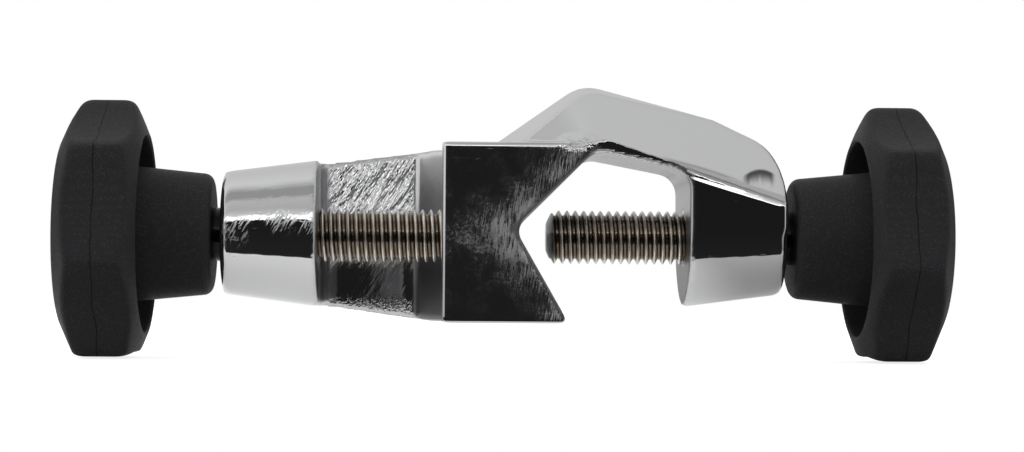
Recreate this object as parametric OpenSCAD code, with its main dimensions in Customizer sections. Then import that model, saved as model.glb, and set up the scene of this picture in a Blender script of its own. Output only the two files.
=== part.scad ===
// Boss head clamp: a cast body with two V jaws at right angles, each closed by a hand screw.
// Both screws lie on the X axis. The stand jaw (-X side) takes an upright rod along Z
// and opens towards -Y. The cross jaw (+X side) takes a rod along Y and opens towards -Z.
// The origin is on the axis of a stand rod in its jaw, level with the screws.
// Modules are drawn about the middle of the casting and then moved into that frame.
// All sizes are in millimetres.

/* [Jaws] */
// diameter of the rod that sits with its axis level with the screws
rod_d = 10; // [9:0.5:12]
// angle of the inner face of a V seat to the screw axis, on the arm side
jaw_arm_angle = 45; // [42:1:48]
// angle of the inner face of a V seat to the screw axis, on the open side
jaw_lip_angle = 60; // [57:1:63]
// distance of the sharp root of a V seat from the middle of the casting
jaw_root_x = 1.4; // [1.2:0.1:2.2]
// height of the sharp root of a V seat above the screw axis
jaw_root_z = 0.5; // [0.2:0.1:1]
// radius in the root of a V seat
jaw_root_r = 2; // [1.5:0.1:3]
// height of the arm's underside above the screw axis where it meets the boss
arm_under_z = 9.2; // [8.6:0.1:9.8]
// rise of the arm's underside towards the V seat, in degrees
arm_under_angle = 11.3; // [8:0.1:14]
// radius between the V seat and the arm's underside
arm_corner_r = 3; // [2:0.1:4]
// radius between the arm's underside and the boss
boss_corner_r = 3.2; // [2:0.1:4]
// distance of the edges of the flat on a jaw's lip from the sharp corner that it replaces
lip_flat = 0.8; // [0.6:0.1:1.6]
// how much further out the stand jaw lies than the cross jaw
stand_jaw_out = 0.5; // [0.1:0.1:0.8]

/* [Casting] */
// width and height of the square middle block
block_size = 26.2; // [25.4:0.1:27]
// distance of the block's middle from the screw axis, towards both arms
block_shift = 0.3; // [0:0.05:0.5]
// distance from the middle of the casting to the inner face of a boss
boss_inner_x = 26.9; // [26.2:0.1:28]
// length of a boss along its screw
boss_len = 14.7; // [13.6:0.1:15.8]
// half width of a boss at its outer end
boss_end_half = 9.05; // [8.7:0.05:9.4]
// height of the round underside's centre above the screw axis
boss_rise = 0.4; // [0.2:0.1:1]
// distance from the middle at which the arm begins to narrow
taper_x = 10.5; // [9.5:0.1:11.5]
// radius round the outer end of a boss
boss_end_r = 1.2; // [0.6:0.1:1.8]

/* [Crown] */
// height of the crown's peak above the screw axis
peak_z = 22.7; // [22:0.1:23.4]
// distance of the peak from the middle of the casting
peak_x = 11.6; // [11:0.1:12.2]
// radius over the peak
peak_r = 6; // [4:0.5:8]
// rise of the crown from the block to the peak, in degrees
hip_angle = 34.6; // [33:0.1:36]
// fall of the ridge from the peak, in degrees
ridge_angle = 14.6; // [13.5:0.1:15.5]
// fall of the ridge near the outer end, in degrees
end_angle = 25.4; // [23:0.1:28]
// distance from the middle at which the ridge begins to fall faster
ridge_bend_x = 31.5; // [30:0.1:33]
// radius from the ridge to the outer end
end_r = 7; // [5:0.1:8]
// sideways fall of the crown's cap from the ridge, in degrees
cap_tilt = 14; // [11:0.5:17]
// sideways fall of the crown's flanks, in degrees
flank_tilt = 44; // [42:0.5:46]
// lengthwise fall of the flanks towards the boss, in degrees
flank_fall = 24.4; // [23:0.1:26]
// sideways fall of the crown's shoulders beside the block, in degrees
shoulder_tilt = 50.7; // [48:0.1:53]
// lengthwise rise of the shoulders towards the boss, in degrees
shoulder_rise = 5; // [3:0.5:8]
// half width of the cap at the peak
cap_half = 5.8; // [5:0.1:6.6]

/* [Screws] */
// thread diameter of a screw
screw_d = 8; // [7.6:0.1:8.4]
// radial clearance of a screw in its tapped bore
screw_fit = 0.05; // [0.03:0.01:0.1]
// length of a screw from its knob to its tip
screw_len = 36.6; // [35:0.1:38]
// chamfer at the tip of a screw
tip_chamfer = 0.9; // [0.5:0.1:1.2]
// length of a screw inside its knob
screw_hold = 15; // [12:0.5:17]

/* [Knobs] */
// diameter of a knob over its lobes
knob_d = 39.8; // [39.4:0.1:40.4]
// radius of a knob in the middle of a hollow between two lobes
hollow_r = 17.4; // [17:0.1:17.7]
// number of lobes
lobes = 7; // [7:1:7]
// angle of a lobe above the front
lobe_turn = 37.5; // [0:0.5:60]
// width of the narrow land along a lobe
lobe_land = 1; // [0.6:0.1:1.6]
// gap between a knob's stem and the boss when screwed in
knob_gap = 1.4; // [1:0.1:2.4]
// length of the stem that stands out of the rim
stem_len = 9.7; // [9.2:0.1:10.2]
// stem diameter at its end
stem_end_d = 17.8; // [17:0.1:18.4]
// stem diameter at the mouth of the rim
stem_root_d = 19.7; // [19:0.1:20.4]
// radius round the end of the stem
stem_end_r = 1.4; // [0.8:0.1:2]
// width of the rim along the axis
rim_w = 12.4; // [11.8:0.1:13]
// diameter of the hollow under the rim at its mouth
mouth_d = 29.2; // [28.4:0.1:30]
// thickness of the knob's outer wall
wall_t = 3.2; // [2.6:0.1:4]
// length of the sloped shoulder on the hollow side of the rim
mouth_slope_len = 2.2; // [1.8:0.1:2.6]
// length of the sloped shoulder on the outer side of the rim
face_slope_len = 2.9; // [2.4:0.1:3.4]
// radius of the flat outer face
face_r = 13.8; // [13:0.1:14.6]
// radius of the rounding over the shoulders of the rim
shoulder_r = 2.2; // [1.4:0.1:3]
// radial clearance of a screw in its knob
knob_fit = 0.05; // [0.03:0.01:0.1]

/* [Hidden] */
$fn = 96;
far = 60;
root_in = 4;
block_half = block_size / 2;
boss_outer_x = boss_inner_x + boss_len;
taper = (block_half - boss_end_half) / (boss_outer_x - taper_x);
lip_x = jaw_root_x + (block_half + jaw_root_z) / tan(jaw_lip_angle);
seat_half = (jaw_arm_angle + jaw_lip_angle) / 2;
seat_skew = (jaw_lip_angle - jaw_arm_angle) / 2;
rod_x = jaw_root_x + stand_jaw_out + rod_d / 2 / sin(seat_half) * cos(seat_skew);
stem_end_x = boss_outer_x + knob_gap;
tip_x = stem_end_x - screw_len;
mouth_x = stem_end_x + stem_len;
face_x = mouth_x + rim_w;
bore_r = screw_d / 2 + screw_fit;
socket_r = screw_d / 2 + knob_fit;
lobe_r = knob_d / 2;
land_half = asin(lobe_land / 2 / lobe_r);
hollow_half = 180 / lobes - land_half;
hollow_sag = lobe_r * cos(hollow_half) - hollow_r;
hollow_chord = lobe_r * sin(hollow_half);
hollow_cut_r = (hollow_chord * hollow_chord + hollow_sag * hollow_sag) / (2 * hollow_sag);
stem_slope = (stem_root_d - stem_end_d) / 2 / stem_len;
floor_x = face_x - wall_t;
rim_in = [lobe_r, mouth_x + mouth_slope_len];
rim_out = [lobe_r, face_x - face_slope_len];
stem_foot_r = stem_root_d / 2 + stem_slope * (floor_x + 1 - mouth_x);
// corners of the opening of a jaw, seen along the rod
arm_slope = tan(arm_under_angle);
corner_x = (arm_under_z + arm_slope * boss_inner_x - jaw_root_z + tan(jaw_arm_angle) * jaw_root_x)
    / (tan(jaw_arm_angle) + arm_slope);
jaw_root = [jaw_root_x, jaw_root_z];
jaw_corner = [corner_x, jaw_root_z + (corner_x - jaw_root_x) * tan(jaw_arm_angle)];
jaw_end = [boss_inner_x, arm_under_z];
jaw_out = [boss_inner_x, -far];
jaw_lip = [jaw_root_x + (far + jaw_root_z) / tan(jaw_lip_angle), -far];
lip_tip = [lip_x, -block_half];
// corners of the crown's outline, seen from the front
bend_z = peak_z - (ridge_bend_x - peak_x) * tan(ridge_angle);
end_z = bend_z - (boss_outer_x - ridge_bend_x) * tan(end_angle);
hip_x = peak_x - (peak_z + far) / tan(hip_angle);

function unit(v) = v / norm(v);
function half_angle(a, b, c) = acos(unit(a - b) * unit(c - b)) / 2;
function tangent_on(a, b, c, r) = b + unit(a - b) * r / tan(half_angle(a, b, c));
function round_centre(a, b, c, r) =
    b + unit(unit(a - b) + unit(c - b)) * r / sin(half_angle(a, b, c));

function turn_between(p, q) = (atan2(q[1], q[0]) - atan2(p[1], p[0]) + 540) % 360 - 180;
function stepped_round(a, b, c, r, steps = 5) =
    let (o = round_centre(a, b, c, r), p = tangent_on(a, b, c, r) - o, q = tangent_on(c, b, a, r) - o)
    [for (i = [0 : steps])
        let (t = atan2(p[1], p[0]) + turn_between(p, q) * i / steps)
        o + r * [cos(t), sin(t)]];

// a convex outline with a true radius at each corner that has one
module rounded_outline(corners, radii) {
    count = len(corners);
    polygon([
        for (i = [0 : count - 1])
        for (side = [-1, 1])
        radii[i] == 0 ? corners[i]
        : side < 0
        ? tangent_on(corners[(i + count - 1) % count], corners[i], corners[(i + 1) % count], radii[i])
        : tangent_on(corners[(i + 1) % count], corners[i], corners[(i + count - 1) % count], radii[i])
    ]);
    for (i = [0 : count - 1]) {
        if (radii[i] > 0) {
            translate(round_centre(
                corners[(i + count - 1) % count], corners[i], corners[(i + 1) % count], radii[i]
            )) circle(r = radii[i]);
        }
    }
}

// an outline in X and Z drawn out along Y, to both sides
module along_y(depth) {
    rotate([90, 0, 0])
    translate([0, 0, -depth])
    linear_extrude(2 * depth)
    children();
}

// everything below a plane through a point, with its slopes along X and Y
module below_plane(point, slope_x, slope_y) {
    translate(point)
    rotate([0, atan(norm([slope_x, slope_y])), atan2(-slope_y, -slope_x)])
    translate([-far * 1.5, -far * 1.5, -far * 3])
    cube([far * 3, far * 3, far * 3]);
}

// one side of the roof-shaped cap along the ridge
module cap_side(turn) {
    rotate([turn, 0, 0])
    along_y(far)
    rounded_outline(
        [
            [hip_x, -far],
            [peak_x, peak_z * cos(turn)],
            [ridge_bend_x, bend_z * cos(turn)],
            [boss_outer_x, end_z * cos(turn)],
            [boss_outer_x, -far]
        ],
        [0, peak_r, 0, end_r, 0]
    );
}

// the flanks and shoulders that fall from the cap to the front and back of the arm
module crown_flanks() {
    flank_top = peak_z - cap_half * tan(cap_tilt);
    intersection() {
        below_plane([peak_x, -cap_half, flank_top], -tan(flank_fall), tan(flank_tilt));
        below_plane([peak_x, -cap_half, flank_top], tan(shoulder_rise), tan(shoulder_tilt));
        below_plane([peak_x, cap_half, flank_top], -tan(flank_fall), -tan(flank_tilt));
        below_plane([peak_x, cap_half, flank_top], tan(shoulder_rise), -tan(shoulder_tilt));
    }
}

// plan of an arm from the block to the outer end of its boss
module arm_plan() {
    polygon([
        [-root_in, -block_half],
        [taper_x, -block_half],
        [boss_outer_x, -boss_end_half],
        [boss_outer_x, boss_end_half],
        [taper_x, block_half],
        [-root_in, block_half]
    ]);
}

// the round of a boss, with its rounded outer end
module boss_round() {
    start = block_half - (boss_inner_x - root_in - taper_x) * taper;
    translate([0, 0, boss_rise])
    rotate([90, 0, 90])
    rotate_extrude()
    intersection() {
        rounded_outline(
            [
                [-start, boss_inner_x - root_in],
                [start, boss_inner_x - root_in],
                [boss_end_half, boss_outer_x],
                [-boss_end_half, boss_outer_x]
            ],
            [0, 0, boss_end_r, boss_end_r]
        );
        translate([0, boss_inner_x - 2 * root_in])
        square([far, far]);
    }
}

// the lower half of the round
module boss_underside() {
    intersection() {
        boss_round();
        translate([0, -far, boss_rise - far])
        cube([far, 2 * far, far]);
    }
}

// one arm with its crown and boss, before the jaw is cut
module arm() {
    intersection() {
        union() {
            translate([0, 0, boss_rise])
            linear_extrude(far)
            arm_plan();
            boss_underside();
        }
        cap_side(cap_tilt);
        cap_side(-cap_tilt);
        crown_flanks();
    }
}

// the opening of a jaw, with its V seat
module jaw_opening() {
    along_y(far)
    rounded_outline(
        [jaw_root, jaw_corner, jaw_end, jaw_out, jaw_lip],
        [jaw_root_r, arm_corner_r, boss_corner_r, 0, 0]
    );
}

// what the flat on the lip of a jaw takes away
module lip_cut() {
    along_y(far)
    polygon([
        lip_tip + unit(jaw_root - lip_tip) * lip_flat,
        lip_tip - [lip_flat, 0],
        lip_tip - [lip_flat, far],
        lip_tip + [far, -far],
        lip_tip + [far, 0]
    ]);
}

// the bore of a boss
module boss_bore() {
    translate([boss_inner_x - root_in, 0, 0])
    rotate([0, 90, 0])
    cylinder(r = bore_r, h = boss_len + 2 * root_in);
}

// the second jaw is the first one turned half round about the slanting axis of the casting
module both_jaws() {
    children();
    rotate(a = 180, v = [0, 1, 1])
    children();
}

// the opening of the cross jaw and, a little further out, that of the stand jaw
module both_openings() {
    children();
    translate([-stand_jaw_out, 0, 0])
    rotate(a = 180, v = [0, 1, 1])
    children();
}

// moves a piece from the middle of the casting into the frame of the stand rod
module in_frame() {
    translate([rod_x, 0, 0])
    children();
}

module casting() {
    color([0.78, 0.79, 0.8])
    in_frame()
    difference() {
        translate([0, block_shift, block_shift])
        difference() {
            union() {
                translate([-lip_x - stand_jaw_out, -block_half, -block_half])
                cube([2 * lip_x + stand_jaw_out, block_size, block_size]);
                both_jaws() arm();
            }
            both_openings() jaw_opening();
            both_openings() lip_cut();
        }
        both_jaws() boss_bore();
    }
}

// a screw along +X, from its tip to its end inside the knob
module screw() {
    rotate([90, 0, 90])
    rotate_extrude()
    polygon([
        [0, tip_x],
        [screw_d / 2 - tip_chamfer, tip_x],
        [screw_d / 2, tip_x + tip_chamfer],
        [screw_d / 2, stem_end_x + screw_hold],
        [0, stem_end_x + screw_hold]
    ]);
}

// section of a knob, from its stem to its outer face
module knob_section() {
    difference() {
        polygon(concat(
            [[0, mouth_x], [mouth_d / 2, mouth_x]],
            stepped_round([mouth_d / 2, mouth_x], rim_in, rim_out, shoulder_r),
            stepped_round(rim_in, rim_out, [face_r, face_x], shoulder_r),
            stepped_round(rim_out, [face_r, face_x], [0, face_x], shoulder_r),
            [[0, face_x]]
        ));
        polygon([
            [-1, mouth_x - 1],
            [mouth_d / 2, mouth_x - 1],
            [mouth_d / 2, mouth_x],
            [mouth_d / 2 - 0.3, floor_x],
            [-1, floor_x]
        ]);
    }
    intersection() {
        rounded_outline(
            [
                [-stem_end_d / 2, stem_end_x],
                [stem_end_d / 2, stem_end_x],
                [stem_foot_r, floor_x + 1],
                [-stem_foot_r, floor_x + 1]
            ],
            [stem_end_r, stem_end_r, 0, 0]
        );
        translate([0, stem_end_x - 1])
        square([far, far]);
    }
}

// outline of a knob's lobes, seen along its axis
module lobe_outline() {
    difference() {
        circle(r = lobe_r + 2);
        for (i = [0 : lobes - 1]) {
            rotate(lobe_turn + (i + 0.5) * 360 / lobes)
            translate([-hollow_r - hollow_cut_r, 0])
            circle(r = hollow_cut_r, $fn = 360);
        }
    }
}

// a knob along +X, with its hollow side towards the casting
module knob() {
    difference() {
        intersection() {
            rotate([90, 0, 90])
            rotate_extrude()
            knob_section();
            translate([stem_end_x - 1, 0, 0])
            rotate([90, 0, 90])
            linear_extrude(face_x - stem_end_x + 2)
            mirror([0, 1, 0])
            lobe_outline();
        }
        translate([stem_end_x - 1, 0, 0])
        rotate([0, 90, 0])
        cylinder(r = socket_r, h = screw_hold + 1 + knob_fit);
    }
}

module cross_screw() {
    color([0.62, 0.58, 0.52])
    in_frame()
    screw();
}

module cross_knob() {
    color([0.08, 0.08, 0.085])
    in_frame()
    knob();
}

module stand_screw() {
    color([0.62, 0.58, 0.52])
    in_frame()
    mirror([1, 0, 0])
    screw();
}

module stand_knob() {
    color([0.08, 0.08, 0.085])
    in_frame()
    mirror([1, 0, 0])
    knob();
}

casting();
stand_screw();
stand_knob();
cross_screw();
cross_knob();
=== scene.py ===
import math

import bmesh
import bpy
from mathutils import Matrix, Vector


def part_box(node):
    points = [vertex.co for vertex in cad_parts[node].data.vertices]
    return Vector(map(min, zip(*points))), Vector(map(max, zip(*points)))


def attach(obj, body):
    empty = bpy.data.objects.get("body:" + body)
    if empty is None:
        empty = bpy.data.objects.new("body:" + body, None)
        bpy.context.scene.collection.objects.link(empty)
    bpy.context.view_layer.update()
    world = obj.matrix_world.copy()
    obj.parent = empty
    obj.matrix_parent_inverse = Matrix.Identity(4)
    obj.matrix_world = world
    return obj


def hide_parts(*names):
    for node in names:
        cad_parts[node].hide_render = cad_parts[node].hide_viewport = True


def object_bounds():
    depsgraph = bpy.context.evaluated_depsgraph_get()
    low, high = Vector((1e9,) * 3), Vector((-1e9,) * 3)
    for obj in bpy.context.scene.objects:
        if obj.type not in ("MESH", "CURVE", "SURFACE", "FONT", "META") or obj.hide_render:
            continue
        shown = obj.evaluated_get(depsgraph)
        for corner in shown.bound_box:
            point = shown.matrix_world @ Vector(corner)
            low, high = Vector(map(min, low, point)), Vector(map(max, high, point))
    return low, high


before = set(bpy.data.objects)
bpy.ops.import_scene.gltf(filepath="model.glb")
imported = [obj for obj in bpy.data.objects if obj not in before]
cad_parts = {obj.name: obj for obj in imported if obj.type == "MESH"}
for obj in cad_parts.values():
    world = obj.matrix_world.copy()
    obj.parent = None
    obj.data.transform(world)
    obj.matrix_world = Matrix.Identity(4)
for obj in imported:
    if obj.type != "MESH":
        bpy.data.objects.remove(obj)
cadLow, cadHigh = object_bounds()
mm = 0.001
print("frame loaded, box in mm:", [round(v / mm, 1) for v in (*cadLow, *cadHigh)])


# small helpers for meshes

def newObject(name, bm, material):
    mesh = bpy.data.meshes.new(name)
    bm.to_mesh(mesh)
    bm.free()
    mesh.materials.append(material)
    made = bpy.data.objects.new(name, mesh)
    bpy.context.scene.collection.objects.link(made)
    return made


def newPiece(name, bm, material, body, slot, *nodes):
    piece = newObject(name, bm, material)
    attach(piece, body)
    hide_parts(*nodes)
    print("piece", name, "with", len(piece.data.polygons), "faces")
    return piece


def paint(mesh, name, values, kind="FLOAT", field="value"):  # a number or vector for each vertex
    mesh.attributes.new(name, kind, "POINT").data.foreach_set(field, values)


def shadeSmooth(mesh, angle):
    for face in mesh.polygons:
        face.use_smooth = True
    mesh.set_sharp_from_angle(angle=math.radians(angle))


def stepUp(value, low, high):  # 0 at low, 1 at high, smooth between them
    t = min(max((value - low) / (high - low), 0), 1)
    return t * t * (3 - 2 * t)


def bellCurve(value, reach):  # 1 at zero, falling off to both sides
    return math.exp(-(value / reach) ** 2)


def roundCorner(before, corner, after, radius, steps):  # points of an arc in a corner of an outline
    before, corner, after = Vector(before), Vector(corner), Vector(after)
    inward, outward = (before - corner).normalized(), (after - corner).normalized()
    half = inward.angle(outward) / 2
    centre = corner + (inward + outward).normalized() * (radius / math.sin(half))
    start = (corner + inward * (radius / math.tan(half)) - centre).normalized()
    end = (corner + outward * (radius / math.tan(half)) - centre).normalized()
    return [centre + start.slerp(end, i / steps) * radius for i in range(steps + 1)]


# small helpers for materials

def newMaterial(name):
    material = bpy.data.materials.new(name)
    material.use_nodes = True
    return material, material.node_tree, material.node_tree.nodes["Principled BSDF"]


def feed(tree, node, inputs):  # links or sets a node's inputs, by name or number
    for key, value in inputs.items():
        if isinstance(value, bpy.types.NodeSocket):
            tree.links.new(value, node.inputs[key])
        else:
            node.inputs[key].default_value = value


def addNode(tree, kind, inputs=None, **settings):
    node = tree.nodes.new(kind)
    for key, value in settings.items():
        setattr(node, key, value)
    feed(tree, node, inputs or {})
    return node


def mathNode(tree, operation, *values, clamp=False):
    inputs = dict(enumerate(values))
    return addNode(tree, "ShaderNodeMath", inputs, operation=operation, use_clamp=clamp).outputs[0]


def product(tree, first, *others):
    for value in others:
        first = mathNode(tree, "MULTIPLY", first, value)
    return first


def vectorNode(tree, operation, *values):
    node = addNode(tree, "ShaderNodeVectorMath", dict(enumerate(values)), operation=operation)
    return node.outputs["Value" if operation in ("DOT_PRODUCT", "LENGTH") else "Vector"]


def splitNode(tree, vector):
    return addNode(tree, "ShaderNodeSeparateXYZ", {"Vector": vector}).outputs


def rangeNode(tree, value, low, high, toLow=0.0, toHigh=1.0):
    node = addNode(tree, "ShaderNodeMapRange", {
        "Value": value, "From Min": low, "From Max": high, "To Min": toLow, "To Max": toHigh,
    }, interpolation_type="SMOOTHSTEP")
    return node.outputs["Result"]


def noiseNode(tree, place, noise):
    return addNode(tree, "ShaderNodeTexNoise", {"Vector": place, **noise}).outputs["Fac"]


def noiseMask(tree, place, noise, *limits):  # the limits go to a range node
    return rangeNode(tree, noiseNode(tree, place, noise), *limits)


def attributeNode(tree, name, output="Fac"):
    return addNode(tree, "ShaderNodeAttribute", attribute_name=name).outputs[output]


def bumpNode(tree, height, depth, normal=None, strength=1.0, invert=False):
    inputs = {"Height": height, "Distance": depth, "Strength": strength}
    if normal:
        inputs["Normal"] = normal
    return addNode(tree, "ShaderNodeBump", inputs, invert=invert).outputs[0]


def mixColors(tree, factor, first, second):
    node = addNode(tree, "ShaderNodeMix", data_type="RGBA")
    number = {socket.identifier: i for i, socket in enumerate(node.inputs)}
    feed(tree, node, {number["Factor_Float"]: factor, number["A_Color"]: first, number["B_Color"]: second})
    return next(socket for socket in node.outputs if socket.identifier == "Result_Color")


def mixValues(tree, factor, first, second):
    return addNode(tree, "ShaderNodeMix", {"Factor": factor, "A": first, "B": second}).outputs["Result"]


def mapNode(tree, vector, **settings):
    return addNode(tree, "ShaderNodeMapping", {"Vector": vector, **settings}).outputs["Vector"]


def millimetres(tree, turn=(0, 0, 0)):  # object coordinates in mm, turned by degrees
    where = addNode(tree, "ShaderNodeTexCoord").outputs["Object"]
    return mapNode(tree, where, Rotation=[math.radians(v) for v in turn], Scale=[1 / mm] * 3)


def layOut(tree, width=220, height=260):  # nodes in columns, each to the left of what it feeds
    column = {node.name: 0 for node in tree.nodes}
    links = [(link.from_node.name, link.to_node.name) for link in tree.links]
    for _ in column:
        for start, end in links:
            column[start] = max(column[start], column[end] + 1)
    rows = [0] * len(column)
    for node in tree.nodes:
        number = column[node.name]
        node.location = (-width * number, -height * rows[number])
        rows[number] += 1


def newGroup(name, numbers):  # a group reads a vector and some numbers, and puts out a mask
    group = bpy.data.node_groups.new(name, "ShaderNodeTree")
    group.interface.new_socket("Vector", in_out="INPUT", socket_type="NodeSocketVector")
    for key, value in numbers.items():
        socket = group.interface.new_socket(key, in_out="INPUT", socket_type="NodeSocketFloat")
        socket.default_value = value
    group.interface.new_socket("Mask", in_out="OUTPUT", socket_type="NodeSocketFloat")
    return group, addNode(group, "NodeGroupInput").outputs, addNode(group, "NodeGroupOutput")


def useGroup(tree, group, place, numbers):
    return addNode(tree, "ShaderNodeGroup", {"Vector": place, **numbers}, node_tree=group).outputs["Mask"]


# round dots scattered over a surface: cast pits, painted glints in the plastic
pitForm = {"Spacing": 3.0, "Size": 0.15, "Share": 0.4}


def makePits(form):
    group, given, end = newGroup("scatteredPits", form)
    scaled = vectorNode(group, "DIVIDE", given["Vector"], given["Spacing"])
    cells = addNode(group, "ShaderNodeTexVoronoi", {"Vector": scaled, "Scale": 1.0}).outputs
    picked = mathNode(group, "LESS_THAN", cells["Color"], given["Share"])
    reach = mathNode(group, "DIVIDE", given["Size"], given["Spacing"])
    near = rangeNode(group, cells["Distance"], 0.0, reach, 1.0, 0.0)
    feed(group, end, {"Mask": product(group, near, picked)})
    layOut(group)
    return group


# fine lines that run along the X direction of the vector they are given
scratchForm = {
    "numbers": {"Density": 5.0, "Length": 8.0, "Amount": 0.5},
    "noise": {"Scale": 1.0, "Detail": 2.0, "Roughness": 0.6},
    "rarest": 0.8,  # noise above this shows as a line when the amount is 0
    "commoner": 0.3,  # how much lower it may be when the amount is 1
    "contrast": 9.0,
}


def makeScratches(form):
    group, given, end = newGroup("fineScratches", form["numbers"])
    split = splitNode(group, given["Vector"])
    joined = addNode(group, "ShaderNodeCombineXYZ", {
        "X": mathNode(group, "DIVIDE", split["X"], given["Length"]),
        "Y": product(group, split["Y"], given["Density"]),
        "Z": product(group, split["Z"], given["Density"])})
    limit = mathNode(group, "SUBTRACT", form["rarest"], product(group, given["Amount"], form["commoner"]))
    above = mathNode(group, "SUBTRACT", noiseNode(group, joined.outputs[0], form["noise"]), limit)
    feed(group, end, {"Mask": mathNode(group, "MULTIPLY", above, form["contrast"], clamp=True)})
    layOut(group)
    return group


pitGroup = makePits(pitForm)
scratchGroup = makeScratches(scratchForm)
print("shared node groups made")


# what the casting carries on its vertices for its plate
castMasks = ("castSkin", "skinUp", "groundFace", "wear", "jawInside", "flatFace", "ripple", "paintedShade")
castVectors = ("skinPlace", "skinTilt", "snapTo")
castLow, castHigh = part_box("casting")
castMiddle = (castLow.x + castHigh.x) / 2
# the front flank of the cross arm: the way it faces, and the way its lower edge runs
flankFacing = Vector((0.310, -0.660, 0.684))
flankEdge = Vector((0.947, 0.146, -0.2855))

# chrome plate over the die casting
chromeLook = {
    "color": (0.675, 0.677, 0.685, 1),
    # painted shade: the colour the plate takes where shade or a dark reflection is painted on it
    "paintedShadeColor": (0.08, 0.08, 0.085, 1),
    "pitColor": (0.16, 0.16, 0.17, 1),
    "pitTint": 0.6,
    # roughness of the clean plate, and what each mark adds to it
    "roughness": 0.05,
    "scratchRoughness": 0.42,
    "groundRoughness": 0.48,
    "skinRoughness": 0.04,
    "satinRoughness": 0.26,  # inside the jaws
    "hazeRoughness": 0.5,
    "pitRoughness": 0.5,
    # depth of each relief in m
    "waveDepth": 0.00006,
    "streakDepth": 0.0006,
    "grainDepth": 0.00012,
    "groundDepth": 0.00003,
    "rippleDepth": 0.0004,
    "scratchDepth": 0.000014,
    "pitDepth": 3.0,  # times the depth of a scratch
    # pits and scratches: sizes in mm, lines for each mm, turns in degrees
    "coarsePits": {"Spacing": 4.0, "Size": 0.2, "Share": 0.3},
    "finePits": {"Spacing": 1.7, "Size": 0.11, "Share": 0.12},
    "lengthwise": {"Density": 3.5, "Length": 9.0, "Amount": 0.4},
    "lengthwiseShare": 0.35,
    "smears": {"Density": 2.2, "Length": 3.0, "Amount": 0.6},
    "strokes": {"Density": 3.4, "Length": 3.2, "Amount": 0.95},
    "strokeTurn": (0, 62, 0),
    # grinding and haze: noise, the range of it that counts, and the levels that range gives
    "grindTurn": (0, 82, 0),
    "grindStretch": (0.5, 2.6, 8.5),
    "grindLines": ({"Scale": 1.0, "Detail": 2.0, "Roughness": 0.5}, 0.3, 0.72),
    "grindPatches": ({"Scale": 0.2, "Detail": 2.0}, 0.3, 0.6, 0.35, 1.0),
    "clouds": ({"Scale": 0.33, "Detail": 4.0, "Roughness": 0.6}, 0.3, 0.75, 0.25, 1.0),
    "hairlines": ({"Scale": 2.6, "Detail": 3.0, "Roughness": 0.65, "Distortion": 0.6}, 0.25, 0.85, 0.2, 1.0),
    # slanting streaks on the mould's skin, weaker low down, where there is grain
    "streakTurn": (0, 0, -60),  # degrees
    "streakStretch": (0.2, 0.95, 1),
    "streaks": {"Scale": 1.0, "Detail": 3.0, "Roughness": 0.55},
    "streakRise": (-0.35, 0.25, 0.12, 1.0),  # height as a share of half the arm's width, then levels
    "grain": {"Scale": 2.2, "Detail": 2.0, "Roughness": 0.6},
    "grainBelow": (-0.55, -0.85),
    # waves over the whole plate, swirls in the wavy spots
    "waves": {"Scale": 1 / 9.0, "Detail": 1.5, "Roughness": 0.45},
    "swirls": {"Scale": 0.8, "Detail": 3.0, "Roughness": 0.6},
    "crispFrom": (0.79, 0.9),  # how well a softened edge matches a flat face before it shades like it
    "crispPull": 30.0,
    # bright line between the front flank and the boss: start in mm from the middle, sizes in mm
    "edgeLine": {
        "start": Vector((26.0, -11.3, 9.35)),
        "along": flankEdge,
        "across": (0.0885, 0.736, 0.67),
        "deep": flankFacing,
        "width": (0.02, 0.25),
        "depth": (0.5, 0.9),
        "length": 15.6,
        "endFade": 1.0,
        "strength": 8.0,
        "shadesLike": (0.05, -0.972, 0.23),
    },
}


def lineMask(tree, place, line):  # how strongly a line that light draws shows at a place
    start = line["start"] + Vector((castMiddle / mm, 0, 0))
    away = vectorNode(tree, "SUBTRACT", place, start)
    across, deep, along = (
        vectorNode(tree, "DOT_PRODUCT", away, line[key]) for key in ("across", "deep", "along"))
    return product(
        tree,
        rangeNode(tree, mathNode(tree, "ABSOLUTE", across), *line["width"], line["strength"], 0.0),
        rangeNode(tree, mathNode(tree, "ABSOLUTE", deep), *line["depth"], 1.0, 0.0),
        rangeNode(tree, along, 0.0, line["endFade"]),
        rangeNode(tree, along, line["length"], line["length"] - line["endFade"]))


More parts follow.
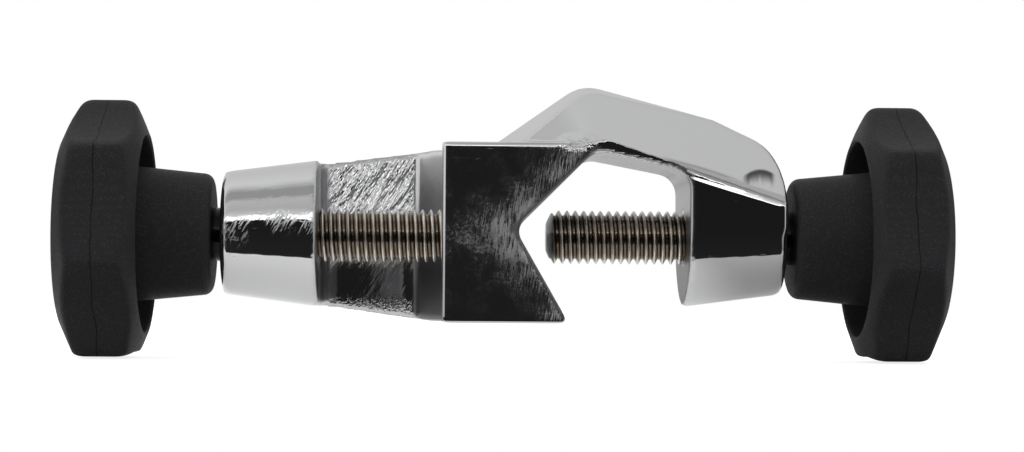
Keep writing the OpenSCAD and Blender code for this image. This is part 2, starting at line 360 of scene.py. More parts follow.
def makeChrome(look):
    material, tree, shader = newMaterial("chromePlate")
    place = millimetres(tree)
    mask = {name: attributeNode(tree, name) for name in castMasks}
    skinPlace, skinTilt, snapTo = (attributeNode(tree, name, "Vector") for name in castVectors)
    # marks: pits, fine scratches, strokes on the worn spots, grinding beside the seats, haze
    pits = mathNode(tree, "MAXIMUM", *(
        useGroup(tree, pitGroup, place, look[key]) for key in ("coarsePits", "finePits")))
    lengthwise, smears = (useGroup(tree, scratchGroup, place, look[key]) for key in ("lengthwise", "smears"))
    strokes = useGroup(tree, scratchGroup, millimetres(tree, look["strokeTurn"]), look["strokes"])
    worn = product(tree, mathNode(tree, "MAXIMUM", smears, strokes), mask["wear"])
    scratches = mathNode(tree, "MAXIMUM", product(tree, lengthwise, look["lengthwiseShare"]), worn)
    stretched = mapNode(tree, millimetres(tree, look["grindTurn"]), Scale=look["grindStretch"])
    grinding = product(
        tree, noiseMask(tree, stretched, *look["grindLines"]), noiseMask(tree, place, *look["grindPatches"]),
        mask["groundFace"])
    haze = product(
        tree, noiseMask(tree, place, *look["clouds"]), noiseMask(tree, place, *look["hairlines"]),
        mask["flatFace"])
    # relief of the unpolished inner sides of the arms
    slanted = mapNode(tree, skinPlace, Rotation=[math.radians(v) for v in look["streakTurn"]])
    streaks = noiseNode(tree, mapNode(tree, slanted, Scale=look["streakStretch"]), look["streaks"])
    streaks = product(
        tree, streaks, mask["castSkin"], rangeNode(tree, mask["skinUp"], *look["streakRise"]))
    grain = product(
        tree, noiseNode(tree, skinPlace, look["grain"]), mask["castSkin"],
        rangeNode(tree, mask["skinUp"], *look["grainBelow"]))
    ripples = product(tree, noiseNode(tree, place, look["swirls"]), mask["ripple"])
    # the direction that shades: crisp edges, the bright line, tilted sides, then relief down to the finest
    normal = addNode(tree, "ShaderNodeNewGeometry").outputs["Normal"]
    match = vectorNode(tree, "DOT_PRODUCT", normal, snapTo)
    pull = rangeNode(tree, match, *look["crispFrom"], 0.0, look["crispPull"])
    relief = vectorNode(tree, "NORMALIZE", vectorNode(tree, "MULTIPLY_ADD", snapTo, pull, normal))
    line = look["edgeLine"]
    relief = vectorNode(tree, "MULTIPLY_ADD", line["shadesLike"], lineMask(tree, place, line), relief)
    relief = vectorNode(tree, "NORMALIZE", vectorNode(tree, "ADD", relief, skinTilt))
    for height, depth in (
            (noiseNode(tree, place, look["waves"]), "waveDepth"), (streaks, "streakDepth"),
            (grain, "grainDepth"), (grinding, "groundDepth"), (ripples, "rippleDepth")):
        relief = bumpNode(tree, height, look[depth], relief)
    marks = mathNode(tree, "ADD", scratches, product(tree, pits, look["pitDepth"]))
    relief = bumpNode(tree, marks, look["scratchDepth"], relief, invert=True)
    rough = look["roughness"]
    for mark, more in (
            (scratches, "scratchRoughness"), (grinding, "groundRoughness"),
            (mask["castSkin"], "skinRoughness"), (mask["jawInside"], "satinRoughness"),
            (haze, "hazeRoughness"), (pits, "pitRoughness")):
        rough = mathNode(tree, "MULTIPLY_ADD", mark, look[more], rough)
    # painted shade and painted dark reflections darken the plate's colour
    color = mixColors(tree, mask["paintedShade"], look["color"], look["paintedShadeColor"])
    color = mixColors(tree, product(tree, pits, look["pitTint"]), color, look["pitColor"])
    feed(tree, shader, {"Base Color": color, "Metallic": 1.0, "Roughness": rough, "Normal": relief})
    layOut(tree)
    return material


# turned steel of the threaded studs
steelLook = {
    "crest": (0.8, 0.77, 0.71, 1),
    "root": (0.19, 0.15, 0.115, 1),
    # painted shade: the stud beside the stem is coloured nearly black, as if in the shade of the knob and
    # boss
    "shankShade": (0.02, 0.02, 0.021, 1),
    "tip": (0.3, 0.3, 0.3, 1),
    "roughness": 0.13,
    "lineRoughness": 0.12,  # what the lines from turning add
    "crestFrom": (3.5, 3.95),  # mm from the axis, where a crest begins to shine and where it shines fully
    "stains": ({"Scale": 0.6, "Detail": 4.0}, 0.25, 0.6, 0.7, 1.0),
    "lines": {"Density": 9.0, "Length": 3.0, "Amount": 0.9},
    "lineTurn": (0, 0, 90),  # degrees
    "lineDepth": 0.00001,  # m
    "lineStrength": 0.7,
}


def makeSteel(look):
    material, tree, shader = newMaterial("turnedSteel")
    place = millimetres(tree)
    split = splitNode(tree, place)
    flat = addNode(tree, "ShaderNodeCombineXYZ", {"Y": split["Y"], "Z": split["Z"]}).outputs[0]
    crest = rangeNode(tree, vectorNode(tree, "LENGTH", flat), *look["crestFrom"])
    bright = product(tree, crest, noiseMask(tree, place, *look["stains"]))
    color = mixColors(tree, bright, look["root"], look["crest"])
    color = mixColors(tree, attributeNode(tree, "turnedTip"), color, look["tip"])
    # painted shade on the stud beside the stem
    color = mixColors(tree, attributeNode(tree, "shadedShank"), color, look["shankShade"])
    lines = useGroup(tree, scratchGroup, millimetres(tree, look["lineTurn"]), look["lines"])
    feed(tree, shader, {
        "Base Color": color,
        "Metallic": 1.0,
        "Roughness": mathNode(tree, "MULTIPLY_ADD", lines, look["lineRoughness"], look["roughness"]),
        "Normal": bumpNode(tree, lines, look["lineDepth"], strength=look["lineStrength"])})
    layOut(tree)
    return material


# black moulded plastic of the knobs
plasticLook = {
    "color": (0.043, 0.0433, 0.046, 1),
    "specular": 0.03,
    "roughness": (0.3, 0.7, 0.36, 0.52),  # range of the grain that counts, and the levels that range gives
    "grain": {"Scale": 1 / 0.32, "Detail": 2.0, "Roughness": 0.55},
    "grainDepth": 0.00006,  # m
    "fading": ({"Scale": 0.35, "Detail": 2.0}, 0.3, 0.7, 0.6, 1.0),
    "scuffColor": (0.06, 0.062, 0.066, 1),
    "scuffs": {"Density": 1.6, "Length": 3.0, "Amount": 0.12},
    "scuffTurn": (0, 20, 35),  # degrees
    "scuffShare": 0.6,
    # painted glints: light dots in the plastic's colour, standing in for the grain's sparkle
    "glintColor": (0.125, 0.123, 0.116, 1),
    "paintedGlints": {"Spacing": 0.26, "Size": 0.14, "Share": 0.5},  # mm
    "glintShare": 0.6,
    # mould line round the middle of the rim
    "lineColor": (0.016, 0.016, 0.017, 1),
    "lineAt": 15.8,  # mm from the end of the stem
    "lineWidth": (0.052, 0.13),  # mm, full strength and none
    "lineWander": 0.9,  # mm
    "lineNoise": {"Scale": 0.25, "Detail": 2.0},
    "lineDepth": 0.6,  # times the depth of the grain
}


def makePlastic(look):
    material, tree, shader = newMaterial("mouldedPlastic")
    place = millimetres(tree)
    grain = noiseNode(tree, place, look["grain"])
    fading = noiseMask(tree, place, *look["fading"])
    wander = noiseNode(tree, place, look["lineNoise"])
    lineAt = mathNode(
        tree, "MULTIPLY_ADD", wander, look["lineWander"], look["lineAt"] - look["lineWander"] / 2)
    away = mathNode(tree, "ABSOLUTE", mathNode(tree, "SUBTRACT", attributeNode(tree, "alongKnob"), lineAt))
    line = rangeNode(tree, away, *look["lineWidth"], 1.0, 0.0)
    relief = mathNode(tree, "SUBTRACT", product(tree, grain, fading), product(tree, line, look["lineDepth"]))
    scuffs = useGroup(tree, scratchGroup, millimetres(tree, look["scuffTurn"]), look["scuffs"])
    paintedGlints = useGroup(tree, pitGroup, place, look["paintedGlints"])
    color = mixColors(tree, product(tree, scuffs, look["scuffShare"]), look["color"], look["scuffColor"])
    # painted glints lighten the plastic's colour in dots
    color = mixColors(tree, product(tree, paintedGlints, fading, look["glintShare"]), color, look["glintColor"])
    color = mixColors(tree, product(tree, line, fading), color, look["lineColor"])
    feed(tree, shader, {
        "Base Color": color,
        "Roughness": rangeNode(tree, grain, *look["roughness"]),
        "Specular IOR Level": look["specular"],
        "Normal": bumpNode(tree, relief, look["grainDepth"])})
    layOut(tree)
    return material


chrome = makeChrome(chromeLook)
steel = makeSteel(steelLook)
plastic = makePlastic(plasticLook)
print("materials made")


# the casting: its edges are softened, as on the plated part
# lengths are in mm: across from the middle, up from the screw axis, aside along a rod in the jaw
castingForm = {
    "mergeGap": 0.002,
    "grid": 0.37,  # size of the faces
    "softness": 0.5,
    "rounds": 10,
    "smoothAngle": 180,  # degrees
    # the jaws
    "standOut": 0.5,  # how much further out the stand jaw lies
    "seatRoot": (1.4, 0.8),  # across and up
    "seatSlopes": (45, 60),  # degrees, upper and lower side of the V
    "armStart": (26.9, 9.5),  # across and up, where an arm's inner side meets the boss
    "armFall": 11.3,  # degrees
    "armAbove": 4,  # arms lie higher up than this
    "jawHalf": 14,
    "jawEdge": (-0.9, -0.3),  # outside the opening, where its walls begin to count
    # mould's skin on an arm's inner side
    "skinFacing": (0.5, 0.9),  # how squarely it faces the screw
    "skinFrom": (12.5, 13.3),
    "skinTo": (27, 25),
    "skinHalf": 13,
    "lean": 0.13,  # how far its far part leans
    "leanFrom": (-4.5, 1.5),
    # bright line where an arm's inner side turns into the seat
    "turnAt": 12.3,
    "turnWidth": 0.32,
    "turnTilt": 0.24,
    "turnAbove": 3,
    "turnFacing": 0.8,
    "turnUntil": 14,
    # an arm's shoulder runs softly into its flank: the ways they face, and where they meet
    "shoulder": Vector((-0.055, -0.773, 0.632)),
    "flank": flankFacing,
    "meeting": Vector((11.6, -5.8, 21.25)),
    "crownFit": (0.96, 0.985),  # how well a face matches the shoulder or the flank before it counts
    "crownBlend": (-6, 0),  # past the meeting
    "crownEnd": 1.5,
    "shoulderMix": 0.45,  # share of the flank in the shoulder
    # crisp edges of the openings and of the block's lower side
    "crispAside": 9.5,
    "crispArm": (11.5, 26.5),
    "blockHalf": 12.9,
    "blockLow": -12,
    # ground and hazy flat faces
    "flatFacing": (0.9, 0.98),
    "groundReach": 4.4,  # how far grinding marks reach from the edge of a seat
    "groundFrom": (-8, -4),
    "groundTo": (13, 10),
    "hazeHalf": 13.5,
    "hazeLeast": 0.35,
    "hazeReach": 6,
    # painted shade, darkening the plate's colour: on the boss's wall in the jaw, darker low down, and on the
    # far part of the seat
    "paintedShadeMost": 0.8,
    "wallFacing": (0.85, 0.95),
    "wallAcross": (26, 28.5),
    "wallLeast": 0.2,
    "wallFade": (3, -4),
    "seatFacing": (0.3, 0.6),
    "seatHalf": 14,
    "seatFade": (2, -5),
    # worn spots on the front of the stand boss: place and reach, in the frame
    "wornSpots": [(-31.0, -9.4, 0.2, 3.4), (-24.5, -10.2, 1.6, 3.0), (-21.0, -10.6, 1.3, 2.6)],
    # wavy spots in the plate: place and reach, in the frame, and strength
    "rippleSpots": [
        (17.4, -12.5, 13.2, 2.6, 0.6), (19.6, -12.3, 13.2, 2.6, 0.6), (-26.5, -8.5, 4.5, 4.5, 0.15)],
    "spotCore": 0.4,  # share of a spot's reach that has its full strength
}

# painted dark reflections above the front flank's lower edge, drawn as darker plate, in mm along the edge and
# up the flank
paintedReflectionForm = {
    "start": Vector((26.4, -11.3, 9.2)),
    "depth": 0.7,
    "from": (-5, -2),
    # a faint band of painted dark reflection
    "bandShade": 0.3,
    "bandBottom": (0.3, 0.8),
    "bandTop": 1.6,
    "bandRise": 0.5,  # how much higher its right end lies
    "bandRiseFrom": (-4, 3),
    "bandSoft": 0.3,
    # the darker painted line along the top of the band
    "lineShade": 0.55,
    "lineWidth": 0.28,
    "lineFade": (10, 5),
    # a painted dark reflection as a spot with a bowed top and a ragged lower side
    "spotTop": 6.5,
    "spotMiddle": 12.6,
    "spotBow": 0.22,
    "spotFrom": (8.4, 9.6),
    "spotTo": (14.0, 13.2),
    "spotUpper": (0.3, -0.2),  # from the top
    "spotLower": (-3.6, -0.5),
    "ragged": [(0.35, 5.1, 0), (0.3, 8.3, 1)],  # height, how close, shift
}
armSwap = Matrix(((-1, 0, 0), (0, 0, 1), (0, 1, 0)))  # turns each arm onto the other


def seatRoom(across, up, form):  # distance from the nearer side of a V seat, more than 0 in its opening
    u, v = across - form["seatRoot"][0], up - form["seatRoot"][1]
    upper, lower = (math.radians(slope) for slope in form["seatSlopes"])
    return min(u * math.sin(upper) - v * math.cos(upper), u * math.sin(lower) + v * math.cos(lower))


def nearSeat(across, up, form):  # strength of grinding marks beside the edges of a V seat
    reach = bellCurve(seatRoom(across, up, form), form["groundReach"])
    return reach * stepUp(across, *form["groundFrom"]) * stepUp(across, *form["groundTo"])


def insideJaw(across, up, aside, form):  # 1 on the walls of a jaw's opening, 0 on the outer faces
    fall = math.radians(form["armFall"])
    toBoss, toArm = form["armStart"][0] - across, form["armStart"][1] - up
    room = min(seatRoom(across, up, form), toBoss, toBoss * math.sin(fall) + toArm * math.cos(fall))
    return stepUp(room, *form["jawEdge"]) * (abs(aside) < form["jawHalf"])


def onOpening(across, up, inJaw, form):  # on the edge of a jaw's opening
    start, end = form["crispArm"]
    return across < end and (inJaw > 0 or across > start and up > form["armAbove"])


def mouldSkin(across, up, facing, form):  # 1 on an arm's inner side
    reach = stepUp(across, *form["skinFrom"]) * stepUp(across, *form["skinTo"])
    return stepUp(facing, *form["skinFacing"]) * reach * (up > form["armAbove"])


def turnLine(across, up, facing, form):  # tilt of the bright line at the end of an arm's inner side
    if up > form["turnAbove"] and facing > form["turnFacing"] and across < form["turnUntil"]:
        return form["turnTilt"] * bellCurve(across - form["turnAt"], form["turnWidth"])
    return 0


def crownTurn(place, facing, form):  # turns a shoulder and a flank softly into one another
    shoulder, flank = form["shoulder"], form["flank"]
    ways = (shoulder, flank, (flank + shoulder).normalized())
    weight = stepUp(max(facing.dot(way) for way in ways), *form["crownFit"])
    past = (place - form["meeting"]).dot((flank - shoulder).normalized())
    if not weight or past >= form["crownEnd"]:
        return Vector((0, 0, 0))
    mix = form["shoulderMix"] + (1 - form["shoulderMix"]) * stepUp(past, *form["crownBlend"])
    return (shoulder.lerp(flank, mix).normalized() - facing) * weight


def hazeAt(height, form):  # flat faces are haziest at the height of the screw
    return form["hazeLeast"] + (1 - form["hazeLeast"]) * bellCurve(height, form["hazeReach"])


# painted dark reflections on the front flank: how much they darken the plate at a place
def paintedReflectionAt(place, form):
    away = place - form["start"]
    edge = flankEdge.normalized()
    if abs(away.dot(flankFacing)) >= form["depth"] or place.z <= castingForm["armAbove"]:
        return 0
    along, above = away.dot(edge), away.dot(flankFacing.cross(edge).normalized())
    top = form["bandTop"] + form["bandRise"] * stepUp(along, *form["bandRiseFrom"])
    band = form["bandShade"] * stepUp(above, *form["bandBottom"]) * stepUp(above, top, top - form["bandSoft"])
    line = form["lineShade"] * bellCurve(above - top, form["lineWidth"]) * stepUp(along, *form["lineFade"])
    top = form["spotTop"] - form["spotBow"] * (along - form["spotMiddle"]) ** 2
    ragged = sum(height * math.sin(along * close + shift) for height, close, shift in form["ragged"])
    spot = stepUp(above, *(top + v for v in form["spotUpper"]))
    spot *= stepUp(above, top + form["spotLower"][0] + ragged, top + form["spotLower"][1])
    spot *= stepUp(along, *form["spotFrom"]) * stepUp(along, *form["spotTo"])
    return max(stepUp(along, *form["from"]) * max(band, line), spot)


def paintCasting(mesh, form):
    masks = {name: [] for name in castMasks}
    vectors = {name: [] for name in castVectors}
    worn, wavy = (
        [(Vector(spot[:3]), *spot[3:]) for spot in form[key]] for key in ("wornSpots", "rippleSpots"))
    for vertex in mesh.vertices:
        x, y, z = (vertex.co.x - castMiddle) / mm, vertex.co.y / mm, vertex.co.z / mm
        standX = -x - form["standOut"]
        toCross = x > 0
        normal = vertex.normal
        # the inner sides of the arms keep the skin of the mould
        onCross, onStand = mouldSkin(x, z, -normal.z, form), mouldSkin(standX, y, -normal.y, form)
        skin = max(onCross, onStand)
        skinUp = y if onCross else z
        lean = form["lean"] * stepUp(skinUp, *form["leanFrom"]) * skin
        masks["castSkin"].append(skin)
        masks["skinUp"].append(skinUp / form["skinHalf"])
        vectors["skinPlace"] += (-x, y, 0) if onCross else (x, z, 0)
        tilt = Vector((0, lean, 0) if onCross else (0, 0, lean))
        tilt.y += turnLine(x, z, -normal.z, form)
        tilt.z += turnLine(standX, y, -normal.y, form)
        # the crowns of both arms, front and back, are taken as the front of the cross arm
        place, facing = Vector((x, y, z)), normal.copy()
        if not toCross:
            place, facing = armSwap @ place, armSwap @ facing
        side = math.copysign(1, -facing.y)
        place.y *= side
        facing.y *= side
        turned = crownTurn(place, facing, form)
        turned.y *= side
        tilt += turned if toCross else armSwap @ turned
        vectors["skinTilt"] += tuple(tilt)
        # flat faces are ground beside the seats and hazy elsewhere
        inCross, inStand = insideJaw(x, z, y, form), insideJaw(standX, y, z, form)
        inside = max(inCross, inStand)
        onFront, onTop = (stepUp(abs(way), *form["flatFacing"]) for way in (normal.y, normal.z))
        ground = max(onFront * nearSeat(x, z, form), onTop * nearSeat(standX, y, form))
        haze = max(onFront * hazeAt(z, form), onTop * hazeAt(y, form)) * (abs(x) < form["hazeHalf"])
        masks["groundFace"].append((1 - inside) * ground)
        masks["flatFace"].append((1 - inside) * haze)
        masks["jawInside"].append(inside * (1 - skin))
        # crisp edges shade like the flat faces beside them
        onLowEdge = abs(x) < form["blockHalf"] and z < form["blockLow"]
        snap = (0, 0, 0)
        if abs(y) > form["crispAside"] and (onLowEdge or onOpening(x, z, inCross, form)):
            snap = (0, math.copysign(1, y), 0)
        elif abs(z) > form["crispAside"] and onOpening(standX, y, inStand, form):
            snap = (0, 0, math.copysign(1, z))
        vectors["snapTo"] += snap
        # painted shade on the jaw's wall and seat, and painted dark reflections on the front flank
        up, aside = (z, y) if toCross else (y, z)
        wall = form["wallLeast"] + (1 - form["wallLeast"]) * stepUp(up, *form["wallFade"])
        wall *= stepUp(abs(normal.x), *form["wallFacing"])
        wall *= form["wallAcross"][0] < abs(x) < form["wallAcross"][1]
        seat = stepUp(abs(normal.x), *form["seatFacing"]) * stepUp(aside, *form["seatFade"])
        seat *= inside * (abs(x) < form["seatHalf"])
        # painted dark reflections on the front flank
        paintedReflection = paintedReflectionAt(place, paintedReflectionForm) if toCross and side > 0 else 0
        masks["paintedShade"].append(max(form["paintedShadeMost"] * wall, form["paintedShadeMost"] * seat, paintedReflection))
        # worn and wavy spots
        spot, core = vertex.co / mm, form["spotCore"]
        masks["wear"].append(max(
            stepUp((spot - middle).length, reach, reach * core) for middle, reach in worn))
        masks["ripple"].append(max(
            strength * stepUp((spot - middle).length, reach, reach * core)
            for middle, reach, strength in wavy))
    for name, values in masks.items():
        paint(mesh, name, values)
    for name, values in vectors.items():
        paint(mesh, name, values, "FLOAT_VECTOR", "vector")


def makeCasting(form):
    bm = bmesh.new()
    bm.from_mesh(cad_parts["casting"].data)
    bmesh.ops.remove_doubles(bm, verts=bm.verts, dist=form["mergeGap"] * mm)
    piece = newPiece("castBody", bm, chrome, "casting", "plated_casting", "casting")
    remesh = piece.modifiers.new("evenFaces", "REMESH")
    remesh.mode = "VOXEL"
    remesh.voxel_size = form["grid"] * mm
    soften = piece.modifiers.new("softEdges", "SMOOTH")
    soften.factor = form["softness"]
    soften.iterations = form["rounds"]
    mesh = bpy.data.meshes.new_from_object(piece.evaluated_get(bpy.context.evaluated_depsgraph_get()))
    piece.modifiers.clear()
    piece.data = mesh
    shadeSmooth(mesh, form["smoothAngle"])
    paintCasting(mesh, form)
    print("casting finished with", len(mesh.polygons), "faces")


makeCasting(castingForm)


# the studs: a right-hand thread with a rounded tip, in mm
studForm = {
    "pitch": 1.25,
    "threadRadius": 4.0,  # the tip grows to this
    "crestRadius": 3.95,
    "crestRound": 0.04,  # how much higher the middle of a crest lies
    "rootRadius": 3.25,
    "crestWidth": 0.18,
    "rootWidth": 0.26,
    "tipRadius": 2.1,  # at the end of the tip
    "tipLength": 1.3,
    "tipShine": (1.1, 0.7),  # from the end, where the turned tip begins to show and shows fully
    "plain": 2.6,  # length of the plain shank beside the stem
    "plainRadius": 3.97,
    # length over which the painted shade on the shank fades in
    "shankShadeFade": 0.5,
    "runOut": 0.7,  # length over which the thread runs into the plain shank
    "coreRadius": 1.0,  # points nearer the axis stay as they are
    "inKnob": 1.0,  # threaded length that is hidden in the stem
    "steps": 48,  # round the thread
    "mergeGap": 0.003,
    "cutGap": 0.0001,
    "smoothAngle": 42,  # degrees
}


def threadOutline(form):  # one turn, from root to root: distance along the stud, radius
    pitch, root, crest = form["pitch"], form["rootRadius"], form["crestRadius"]
    rootEnd = form["rootWidth"] / 2
    slope = (pitch - form["crestWidth"] - form["rootWidth"]) / 2
    rising = [(0, root), (rootEnd, root), (rootEnd + slope / 2, (root + crest) / 2), (rootEnd + slope, crest)]
    return rising + [(pitch / 2, crest + form["crestRound"])] + [(pitch - x, r) for x, r in reversed(rising)]


def makeStud(name, side, form):
    low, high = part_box(name)
    tip = low.x if side > 0 else high.x
    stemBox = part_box(name.replace("screw", "knob"))
    stem = stemBox[0].x if side > 0 else stemBox[1].x
    length = abs(stem - tip) / mm + form["inKnob"]
    pitch, steps, core = form["pitch"], form["steps"], form["coreRadius"] * mm
    bm = bmesh.new()
    verts = [bm.verts.new(((x - pitch) * mm, 0, r * mm)) for x, r in threadOutline(form)]
    edges = [bm.edges.new(pair) for pair in zip(verts, verts[1:])]
    bmesh.ops.spin(bm, geom=verts + edges, cent=(0, 0, 0), axis=(1, 0, 0), dvec=(pitch / steps * mm, 0, 0),
                   angle=math.tau, steps=steps, use_duplicate=False)
    oneTurn = bm.verts[:] + bm.edges[:] + bm.faces[:]
    for turn in range(1, math.ceil(length / pitch) + 2):
        copied = bmesh.ops.duplicate(bm, geom=oneTurn)["geom"]
        bmesh.ops.translate(bm, verts=[v for v in copied if isinstance(v, bmesh.types.BMVert)],
                            vec=(turn * pitch * mm, 0, 0))
    bmesh.ops.remove_doubles(bm, verts=bm.verts, dist=form["mergeGap"] * mm)
    for cut, normal in ((0, (-1, 0, 0)), (length * mm, (1, 0, 0))):
        bmesh.ops.bisect_plane(bm, geom=bm.verts[:] + bm.edges[:] + bm.faces[:], plane_co=(cut, 0, 0),
                               plane_no=normal, clear_outer=True)
        rim = [edge for edge in bm.edges if edge.is_boundary and all(
            abs(vert.co.x - cut) < form["cutGap"] * mm for vert in edge.verts)]
        bmesh.ops.edgeloop_fill(bm, edges=rim)
    plainAt = (length - form["inKnob"] - form["plain"]) * mm
    for vert in bm.verts:  # plain shank and rounded tip
        radius = math.hypot(vert.co.y, vert.co.z)
        share = stepUp(vert.co.x, plainAt - form["runOut"] * mm, plainAt) if radius > core else 0
        plain = 1 + share * (form["plainRadius"] * mm / max(radius, core) - 1)
        vert.co.y *= plain
        vert.co.z *= plain
        radius *= plain
        share = math.sin(min(vert.co.x / mm / form["tipLength"], 1) * math.pi / 2)
        room = (form["tipRadius"] + (form["threadRadius"] - form["tipRadius"]) * share) * mm
        if radius > room:
            vert.co.y *= room / radius
            vert.co.z *= room / radius
    turn = Matrix.Rotation(0 if side > 0 else math.pi, 4, "Z")
    bmesh.ops.transform(bm, verts=bm.verts, matrix=Matrix.Translation((tip, 0, 0)) @ turn)
    bmesh.ops.recalc_face_normals(bm, faces=bm.faces)
    title = "threadedStud" + ("Cross" if side > 0 else "Stand")
    piece = newPiece(title, bm, steel, name, "screw_steel", name)
    shadeSmooth(piece.data, form["smoothAngle"])
    away = [abs(vertex.co.x - tip) for vertex in piece.data.vertices]
    # painted shade on the stud beside the stem
    paint(piece.data, "shadedShank", [stepUp(v, plainAt - form["shankShadeFade"] * mm, plainAt) for v in away])
    paint(piece.data, "turnedTip", [stepUp(v, *(end * mm for end in form["tipShine"])) for v in away])


makeStud("cross_screw", 1, studForm)
makeStud("stand_screw", -1, studForm)


# the knobs: a turned section with hollows between its lobes, in mm
knobForm = {
    "lobes": 7,
    "firstLobe": 37.5,  # degrees above the front
    "hollowRadius": 17.4,
    "hollowCut": 45.5,
    "hollowsFrom": 15.2,  # radius of what stays round
    "edgeRound": 1.2,  # softness of the lobes' edges
    # section: distance from the stem's end, radius, rounding
    "section": [
        (0.0, 3.6, 0), (0.0, 8.9, 1.4), (9.7, 9.85, 0), (18.9, 10.75, 0.8), (18.9, 14.3, 0.8),
        (9.7, 14.6, 0.4), (11.9, 20.05, 2.2), (19.2, 20.05, 2.2), (22.1, 13.8, 2.2), (22.1, 0.0, 0),
    ],
    "dish": 0.25,  # depth of the shallow dish in the outer face
    "dishFrom": 21.8,  # from the stem's end
    "dishRadius": 11,
    "dishSlope": 1.2,  # width of its sloping edge
    "stepsPerLobe": 40,
    "stepsPerArc": 6,
    "spacing": 0.9,  # between the points of the section
    "mergeGap": 0.001,
    "smoothAngle": 50,  # degrees
}


def softMin(a, b, k):  # the smaller of two lengths, blended where they meet
    h = max(k - abs(a - b), 0) / k
    return min(a, b) - h * h * k / 4


def hollowAt(angle, form):  # radius of the hollows at an angle
    step = math.tau / form["lobes"]
    off = (angle - math.radians(form["firstLobe"])) % step - step / 2
    centre = form["hollowRadius"] + form["hollowCut"]
    return centre * math.cos(off) - math.sqrt(form["hollowCut"] ** 2 - (centre * math.sin(off)) ** 2)


def knobOutline(form):
    section = form["section"]
    points = []
    for i, (x, r, rounding) in enumerate(section):
        if rounding:
            before, after = section[i - 1][:2], section[i + 1][:2]
            points += roundCorner(before, (x, r), after, rounding, form["stepsPerArc"])
        else:
            points.append(Vector((x, r)))
    spaced = [points[0]]
    for point in points[1:]:  # long straight parts are divided, so that the lobes can shape them
        first = spaced[-1].copy()
        parts = max(1, round((point - first).length / form["spacing"]))
        spaced += [first.lerp(point, (i + 1) / parts) for i in range(parts)]
    return spaced


def makeKnob(name, side, form):
    low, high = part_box(name)
    stem = low.x if side > 0 else high.x
    bm = bmesh.new()
    verts = [bm.verts.new((p.x * mm, -p.y * mm, 0)) for p in knobOutline(form)]
    edges = [bm.edges.new(pair) for pair in zip(verts, verts[1:])]
    bmesh.ops.spin(bm, geom=verts + edges, cent=(0, 0, 0), axis=(1, 0, 0), angle=math.tau,
                   steps=form["lobes"] * form["stepsPerLobe"], use_merge=True, use_duplicate=False)
    bmesh.ops.remove_doubles(bm, verts=bm.verts, dist=form["mergeGap"] * mm)
    for vert in bm.verts:
        radius = math.hypot(vert.co.y, vert.co.z) / mm
        if radius > form["hollowsFrom"]:
            limit = hollowAt(math.atan2(vert.co.z, -vert.co.y), form)
            fit = softMin(radius, limit, form["edgeRound"]) / radius
            vert.co.y *= fit
            vert.co.z *= fit
        inDish = form["dishRadius"] - radius
        if vert.co.x > form["dishFrom"] * mm and inDish > 0:
            vert.co.x -= form["dish"] * mm * min(1, inDish / form["dishSlope"])
    if side < 0:
        bmesh.ops.scale(bm, verts=bm.verts, vec=(-1, 1, 1))
    bmesh.ops.translate(bm, verts=bm.verts, vec=(stem, 0, 0))
    bmesh.ops.recalc_face_normals(bm, faces=bm.faces)
    title = "lobedKnob" + ("Cross" if side > 0 else "Stand")
    piece = newPiece(title, bm, plastic, name, "knob_plastic", name)
    shadeSmooth(piece.data, form["smoothAngle"])
    paint(piece.data, "alongKnob", [abs(vertex.co.x - stem) / mm for vertex in piece.data.vertices])


makeKnob("cross_knob", 1, knobForm)
makeKnob("stand_knob", -1, knobForm)


# floor: a pale sheet that ends just in front of the clamp, in m
floorForm = {
    "front": -0.026,
    "back": 1.2,
    "side": 1.5,
    "gap": 0.0001,  # below the knobs
    "color": (0.7, 0.7, 0.7, 1),
    "roughness": 0.9,
    "glow": 0.8,
    # the glow that chrome shows, which fades backwards and to the right
    "mirrored": 0.5,
    "fadeBack": (0.03, 0.15),
    "fadeRight": (0.0355, 0.0485),
    "leftAtRight": 0.27,  # share of it that stays there
}


def makeFloor(form):
    material, tree, shader = newMaterial("paleSheet")
    path = addNode(tree, "ShaderNodeLightPath").outputs
    where = splitNode(tree, addNode(tree, "ShaderNodeTexCoord").outputs["Object"])
    mirrored = product(
        tree, mathNode(tree, "MAXIMUM", path["Is Glossy Ray"], path["Is Transmission Ray"]),
        rangeNode(tree, where["Y"], *form["fadeBack"], form["mirrored"], 0.0),
        rangeNode(tree, where["X"], *form["fadeRight"], 1.0, form["leftAtRight"]))
    glow = mathNode(tree, "MAXIMUM", product(tree, path["Is Camera Ray"], form["glow"]), mirrored)
    feed(tree, shader, {
        "Base Color": form["color"], "Roughness": form["roughness"],
        "Emission Color": (1, 1, 1, 1), "Emission Strength": glow})
    layOut(tree)
    bm = bmesh.new()
    bmesh.ops.create_grid(bm, x_segments=1, y_segments=1, size=0.5)
    bmesh.ops.scale(bm, verts=bm.verts, vec=(2 * form["side"], form["back"] - form["front"], 1))
    middle = (form["back"] + form["front"]) / 2
    bmesh.ops.translate(bm, verts=bm.verts, vec=(0, middle, cadLow.z - form["gap"]))
    floor = newObject("floorSheet", bm, material)


makeFloor(floorForm)


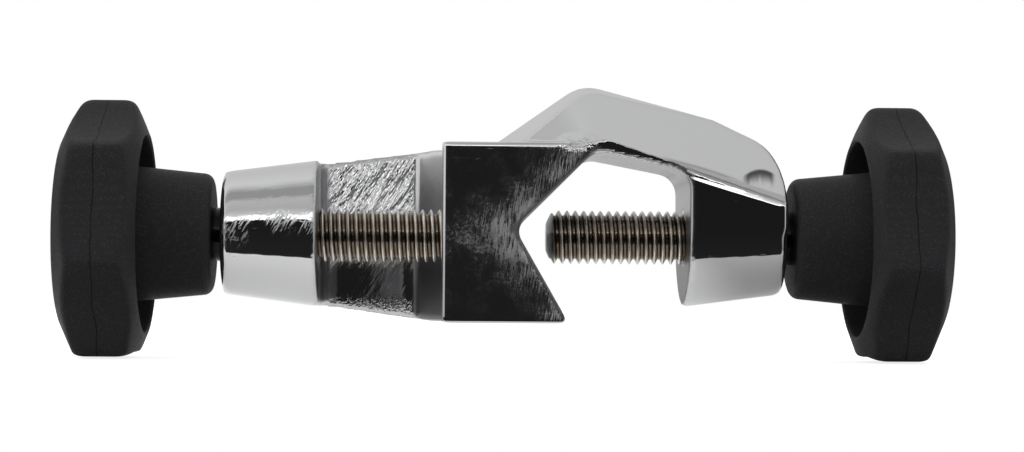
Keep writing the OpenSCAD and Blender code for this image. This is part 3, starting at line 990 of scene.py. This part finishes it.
# light: a white tent with a dark opening on the side of the camera
tentForm = {
    # degrees round the clamp's length, from the camera's side upwards, and brightness
    "levels": [
        (-180, 0.63), (-110, 0.8), (-62, 0.95), (-44, 0.02), (20, 0.012), (22.5, 2.4), (25.5, 2.4),
        (28.5, 0.76), (41, 0.54), (58, 0.6), (65, 0.38), (79, 0.38), (90, 0.68), (98, 0.8), (130, 0.7),
        (180, 0.63)],
    "rampScale": 2.0,  # the ramp holds the brightness divided by this
    # the sides, by the share of the view along X, and how they brighten upwards
    "sideFrom": (0.6, 0.78),
    "sideRise": (-0.25, 0.15),
    "sideBelow": 0.45,
    "side": 0.8,
    "leftMore": 0.2,  # how much brighter the left is
    # two dark screens stand behind, left and right: shares of the view along X, Y and Z
    "screenFrom": (0.4, 0.48),
    "screenTo": (0.66, 0.74),
    "screenBehind": (0.12, 0.3),
    "screenTop": (0.5, 0.65),
    "screenShade": 0.85,
}


def makeTent(form):
    world = bpy.data.worlds.new("lightTent")
    bpy.context.scene.world = world
    world.use_nodes = True
    tree = world.node_tree
    view = splitNode(tree, addNode(tree, "ShaderNodeTexCoord").outputs["Generated"])
    sideways = mathNode(tree, "ABSOLUTE", view["X"])
    angle = mathNode(tree, "ARCTAN2", view["Z"], mathNode(tree, "MULTIPLY", view["Y"], -1.0))
    turned = mathNode(tree, "MULTIPLY_ADD", angle, 1 / math.tau, 0.5)  # 0 to 1 once round
    ramp = addNode(tree, "ShaderNodeValToRGB", {"Fac": turned})
    stops = ramp.color_ramp.elements
    while len(stops) < len(form["levels"]):
        stops.new(1.0)
    for stop, (degrees, level) in zip(stops, form["levels"]):
        shade = level / form["rampScale"]
        stop.position = degrees / 360 + 0.5
        stop.color = (shade, shade, shade, 1)
    light = product(tree, ramp.outputs["Color"], form["rampScale"])
    sideLight = rangeNode(tree, view["Z"], *form["sideRise"], form["sideBelow"], form["side"])
    light = mixValues(tree, rangeNode(tree, sideways, *form["sideFrom"]), light, sideLight)
    leftward = mathNode(tree, "MULTIPLY_ADD", view["X"], -form["leftMore"], 1.0)
    screen = product(
        tree, rangeNode(tree, sideways, *form["screenFrom"]),
        rangeNode(tree, sideways, *form["screenTo"], 1.0, 0.0),
        rangeNode(tree, view["Y"], *form["screenBehind"]),
        rangeNode(tree, view["Z"], *form["screenTop"], 1.0, 0.0))
    screened = mathNode(tree, "MULTIPLY_ADD", screen, -form["screenShade"], 1.0)
    light = product(tree, light, leftward, screened)
    seen = addNode(tree, "ShaderNodeLightPath").outputs["Is Camera Ray"]
    strength = mixValues(tree, seen, light, 1.0)  # the camera sees plain white
    feed(tree, tree.nodes["Background"], {"Color": (1, 1, 1, 1), "Strength": strength})
    layOut(tree)


makeTent(tentForm)


# camera at the photo's viewing angle
cameraForm = {
    "place": (-0.0037981, -0.3603523, -0.0087839),
    "turnRight": 2.1116,  # degrees
    "tiltUp": 1.6499,
    "roll": 0.4265,
    "focal": 2415.52,  # pixels
    "pictureWidth": 1024,
    "sensorWidth": 36,  # mm
    "clip": (0.01, 10),
}


def makeCamera(form):
    data = bpy.data.cameras.new("viewCamera")
    data.sensor_width = form["sensorWidth"]
    data.lens = form["focal"] * form["sensorWidth"] / form["pictureWidth"]
    data.clip_start, data.clip_end = form["clip"]
    camera = bpy.data.objects.new("viewCamera", data)
    bpy.context.scene.collection.objects.link(camera)
    turn = Matrix.Rotation(-math.radians(form["turnRight"]), 4, "Z")
    tilt = Matrix.Rotation(math.pi / 2 + math.radians(form["tiltUp"]), 4, "X")
    roll = Matrix.Rotation(math.radians(form["roll"]), 4, "Z")
    camera.matrix_world = Matrix.Translation(form["place"]) @ turn @ tilt @ roll
    bpy.context.scene.camera = camera


makeCamera(cameraForm)
bpy.context.scene.view_settings.view_transform = "Standard"
print("floor, light and camera set")
